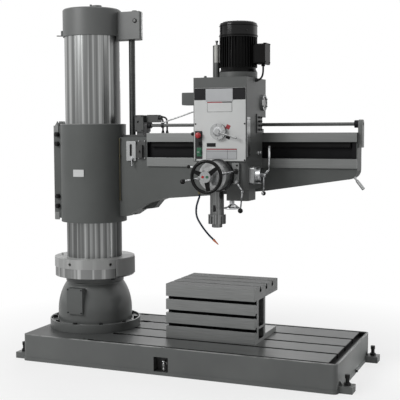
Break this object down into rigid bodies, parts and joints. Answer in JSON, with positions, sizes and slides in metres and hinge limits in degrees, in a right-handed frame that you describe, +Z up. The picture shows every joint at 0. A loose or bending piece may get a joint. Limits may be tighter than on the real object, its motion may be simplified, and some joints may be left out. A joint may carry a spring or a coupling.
{
  "type": "radial arm drill",
  "caption": "Radial arm drill: slotted base with box table, swinging column, arm that climbs on a screw, and a travelling head with quill, capstan, handwheel, gears and motor.",
  "frame": {"origin": "column axis at floor level, on the base's underside", "axes": "+X along the base towards the box table, +Y away from the operator, +Z up"},
  "size_m": [2.364, 1.073, 2.46],
  "materials": {
    "machine_paint": "satin",
    "dark_paint": "satin",
    "machined_iron": "ground",
    "light_steel": "ground",
    "chrome": "polished",
    "gear_steel": "oiled",
    "black_steel": "gloss",
    "bronze": "machined",
    "black_rubber": "matt",
    "panel_paint": "satin",
    "black_plastic": "matt",
    "orange_plastic": "gloss",
    "red_plastic": "gloss",
    "green_plastic": "gloss"
  },
  "bodies": {
    "base": {"base_casting": "machine_paint", "base_bolts": "black_steel", "coolant_tap": "chrome", "column_pedestal": "machine_paint", "pedestal_cover": "dark_paint", "inner_pillar": "machined_iron", "pillar_bearings": "machined_iron", "clamp_ring": "machined_iron", "box_table": "machined_iron"},
    "column": {"column_tube": "light_steel", "swivel_collar": "light_steel", "column_cap": "machine_paint", "elevating_screw": "gear_steel"},
    "arm": {"arm_casting": "machine_paint", "arm_guideways": "machined_iron", "arm_rack": "gear_steel", "sleeve_bolts": "black_steel", "elevating_gearbox": "machine_paint", "elevating_motor": "dark_paint", "elevating_nut": "bronze", "arm_cables": "black_rubber", "lube_pipe": "bronze", "limit_switch": "dark_paint", "cable_rail": "machine_paint", "rail_brackets": "machine_paint", "arm_handle": "chrome"},
    "arm_lock": {"arm_lock_lever": "chrome"},
    "head": {"head_casting": "machine_paint", "front_panel": "panel_paint", "switch_plate": "black_plastic", "motor_housing": "dark_paint", "fan_cover": "dark_paint", "terminal_box": "dark_paint", "motor_cable": "black_rubber", "side_box": "machine_paint", "side_fittings": "light_steel", "spindle_guard": "light_steel", "feed_bracket": "machined_iron", "coolant_hose": "black_rubber", "coolant_nozzle": "orange_plastic", "head_conduit": "machine_paint"},
    "rotor": {"motor_rotor": "gear_steel"},
    "drive": {"drive_gear": "gear_steel"},
    "quill": {"quill": "light_steel", "nose_nut": "light_steel", "spindle_bearings": "light_steel"},
    "spindle": {"spindle": "light_steel"},
    "capstan": {"feed_drum": "light_steel", "feed_levers": "chrome"},
    "fine_feed": {"fine_feed_wheel": "chrome"},
    "traverse_wheel": {"traverse_handwheel": "black_steel"},
    "traverse_pinion": {"traverse_pinion": "gear_steel"},
    "dial": {"speed_dial": "light_steel"},
    "clutch": {"clutch_lever": "chrome"},
    "direction": {"direction_lever": "chrome"},
    "selector": {"selector_knob": "black_plastic"},
    "stop": {"estop_button": "red_plastic"},
    "start": {"start_button": "green_plastic"},
    "clamp": {"clamp_button": "red_plastic"},
    "release": {"release_button": "green_plastic"}
  },
  "joints": [
    {"name": "column_swing", "type": "hinge", "parent": "base", "child": "column", "pos_m": [0, 0, 0.6], "axis": [0, 0, 1], "range_deg": [-180, 180]},
    {"name": "arm_lift", "type": "slide", "parent": "column", "child": "arm", "axis": [0, 0, 1], "range_m": [-0.24, 0.5]},
    {"name": "arm_lock", "type": "hinge", "parent": "arm", "child": "arm_lock", "pos_m": [0.335, -0.06, 1.382], "axis": [0, 1, 0], "range_deg": [-35, 35]},
    {"name": "head_traverse", "type": "slide", "parent": "arm", "child": "head", "axis": [1, 0, 0], "range_m": [-0.38, 0.5], "deforming": ["head_conduit"]},
    {"name": "traverse_wheel_turn", "type": "hinge", "parent": "head", "child": "traverse_wheel", "pos_m": [1.0963, -0.3, 1.291], "axis": [0, 1, 0], "range_deg": [-1750, 2300]},
    {"name": "traverse_pinion_turn", "type": "hinge", "parent": "head", "child": "traverse_pinion", "pos_m": [1.0963, -0.06, 1.431], "axis": [0, 1, 0], "range_deg": [-900, 700]},
    {"name": "quill_feed", "type": "slide", "parent": "head", "child": "quill", "axis": [0, 0, -1], "range_m": [0, 0.216]},
    {"name": "capstan_turn", "type": "hinge", "parent": "head", "child": "capstan", "pos_m": [1.0963, -0.4, 1.291], "axis": [0, 1, 0], "range_deg": [-580, 5]},
    {"name": "spindle_spin", "type": "hinge", "parent": "quill", "child": "spindle", "pos_m": [1.03, -0.225, 1], "axis": [0, 0, 1], "continuous": true},
    {"name": "drive_gear_spin", "type": "hinge", "parent": "head", "child": "drive", "pos_m": [1.03, -0.225, 1.7], "axis": [0, 0, 1], "continuous": true},
    {"name": "motor_spin", "type": "hinge", "parent": "head", "child": "rotor", "pos_m": [1.168, -0.20142, 1.95], "axis": [0, 0, 1], "continuous": true},
    {"name": "fine_feed_turn", "type": "hinge", "parent": "head", "child": "fine_feed", "pos_m": [1.1533, -0.28, 1.15], "axis": [0, 0, 1], "continuous": true},
    {"name": "speed_select", "type": "hinge", "parent": "head", "child": "dial", "pos_m": [1.102, -0.38, 1.565], "axis": [0, 1, 0], "range_deg": [-30, 60]},
    {"name": "feed_clutch", "type": "hinge", "parent": "head", "child": "clutch", "pos_m": [1.2283, -0.38, 1.25], "axis": [0, 1, 0], "range_deg": [-20, 20]},
    {"name": "spindle_direction", "type": "hinge", "parent": "head", "child": "direction", "pos_m": [1.32, -0.262, 1.291], "axis": [1, 0, 0], "range_deg": [-25, 25]},
    {"name": "mode_turn", "type": "hinge", "parent": "head", "child": "selector", "pos_m": [0.97, -0.38, 1.491], "axis": [0, 1, 0], "range_deg": [-45, 45]},
    {"name": "stop_push", "type": "slide", "parent": "head", "child": "stop", "axis": [0, 1, 0], "range_m": [0, 0.004], "stiffness_N_per_m": 1500},
    {"name": "start_push", "type": "slide", "parent": "head", "child": "start", "axis": [0, 1, 0], "range_m": [0, 0.003], "stiffness_N_per_m": 1200},
    {"name": "clamp_push", "type": "slide", "parent": "traverse_wheel", "child": "clamp", "axis": [0, 1, 0], "range_m": [0, 0.003], "stiffness_N_per_m": 1200},
    {"name": "release_push", "type": "slide", "parent": "traverse_wheel", "child": "release", "axis": [0, 1, 0], "range_m": [0, 0.003], "stiffness_N_per_m": 1200}
  ],
  "couplings": [
    {"joint": "traverse_wheel_turn", "follows": "head_traverse", "rad_per_m": 78.125},
    {"joint": "traverse_pinion_turn", "follows": "head_traverse", "rad_per_m": -31.25},
    {"joint": "capstan_turn", "follows": "quill_feed", "rad_per_m": -41.667},
    {"joint": "drive_gear_spin", "follows": "spindle_spin", "ratio": 1},
    {"joint": "motor_spin", "follows": "spindle_spin", "ratio": -1.1875}
  ]
}
